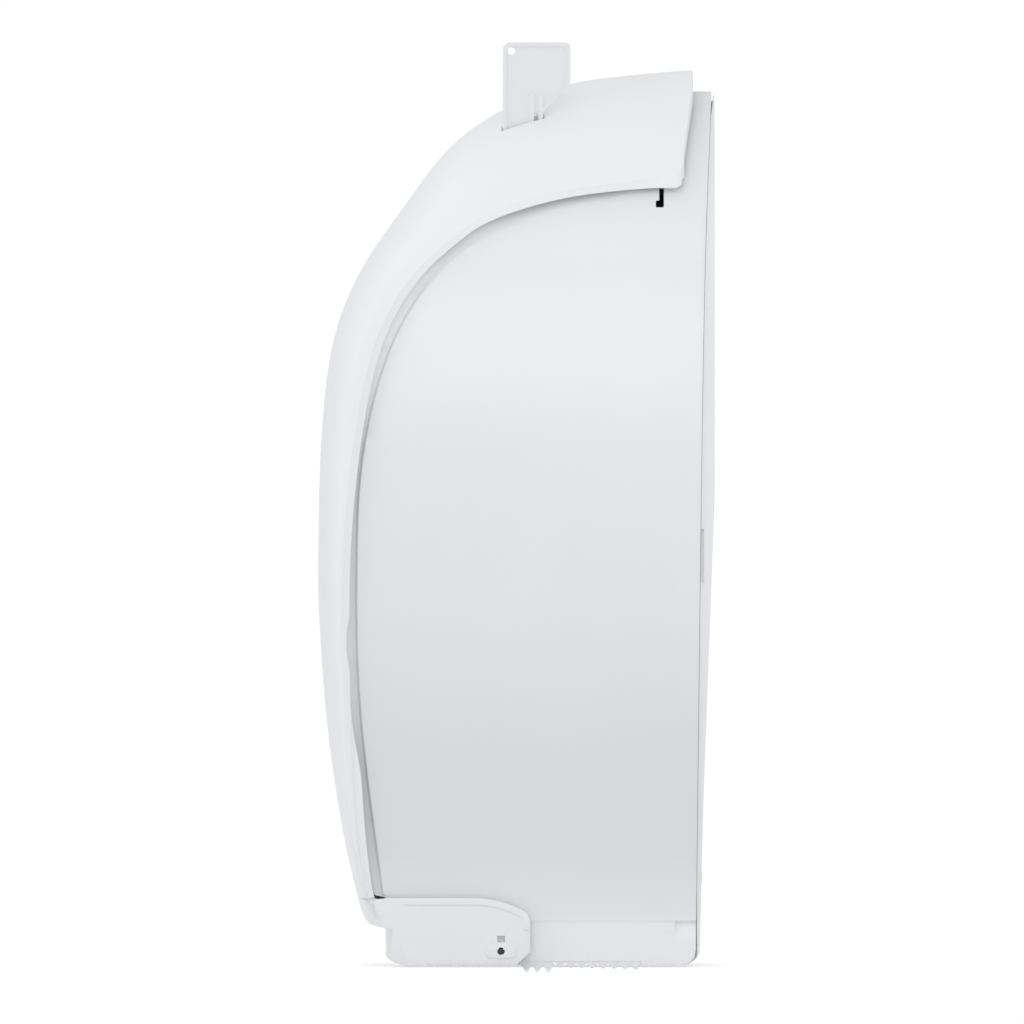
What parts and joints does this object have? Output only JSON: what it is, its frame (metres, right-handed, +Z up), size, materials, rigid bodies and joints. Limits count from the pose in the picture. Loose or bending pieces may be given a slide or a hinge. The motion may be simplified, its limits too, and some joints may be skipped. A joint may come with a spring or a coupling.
{
  "type": "double roll toilet paper dispenser",
  "caption": "Narrow wall-mounted toilet roll dispenser with arched housing, hinged bow-fronted cover, roll hubs one above the other, tear teeth below and a slide-in key.",
  "frame": {"origin": "on the flat wall face of the back plate, in the middle of its width, 232 mm above the foot", "axes": "+Z up, +Y into the wall, so the front cover faces -Y; +X is the side with the lock and key"},
  "size_m": [0.1482, 0.1379, 0.3229],
  "materials": {
    "cover_plastic": "fine satin, moulded",
    "housing_plastic": "satin, moulded",
    "plate_plastic": "satin, moulded",
    "hub_plastic": "satin, moulded",
    "spindle_plastic": "smooth, moulded",
    "lock_plastic": "smooth, moulded",
    "key_plastic": "smooth, moulded",
    "zinc_steel": "zinc plated",
    "dark_steel": "black oxide",
    "spring_steel": "drawn wire",
    "brake_felt": "pressed felt"
  },
  "bodies": {
    "housing": {"wall_plate": "plate_plastic", "rear_housing": "housing_plastic", "plate_screw_1": "zinc_steel", "plate_screw_2": "zinc_steel", "plate_screw_3": "zinc_steel", "plate_screw_4": "zinc_steel", "hinge_pin_right": "dark_steel", "hinge_pin_left": "dark_steel", "lock_spring": "spring_steel", "upper_spindle": "spindle_plastic", "upper_brake_washer": "brake_felt", "upper_end_washer": "zinc_steel", "upper_end_screw": "zinc_steel", "lower_spindle": "spindle_plastic", "lower_brake_washer": "brake_felt", "lower_end_washer": "zinc_steel", "lower_end_screw": "zinc_steel"},
    "cover": {"front_cover": "cover_plastic"},
    "key": {"key": "key_plastic"},
    "lock_bolt": {"lock_bolt": "lock_plastic"},
    "upper_hub": {"upper_roll_hub": "hub_plastic"},
    "lower_hub": {"lower_roll_hub": "hub_plastic"}
  },
  "joints": [
    {"name": "cover_hinge", "type": "hinge", "parent": "housing", "child": "cover", "pos_m": [0, -0.07424, -0.22721], "axis": [1, 0, 0], "range_deg": [0, 100]},
    {"name": "key_slide", "type": "slide", "parent": "cover", "child": "key", "axis": [0, 0, 1], "range_m": [0, 0.03]},
    {"name": "lock_bolt_slide", "type": "slide", "parent": "housing", "child": "lock_bolt", "axis": [0, 0, 1], "range_m": [0, 0.0055], "deforming": ["lock_spring"]},
    {"name": "upper_hub_spin", "type": "hinge", "parent": "housing", "child": "upper_hub", "pos_m": [0, -0.055, -0.029], "axis": [0, -1, 0], "continuous": true},
    {"name": "lower_hub_spin", "type": "hinge", "parent": "housing", "child": "lower_hub", "pos_m": [0, -0.055, -0.155], "axis": [0, -1, 0], "continuous": true}
  ],
  "couplings": [
    {"joint": "lock_bolt_slide", "follows": "key_slide", "ratio": 0.18}
  ]
}
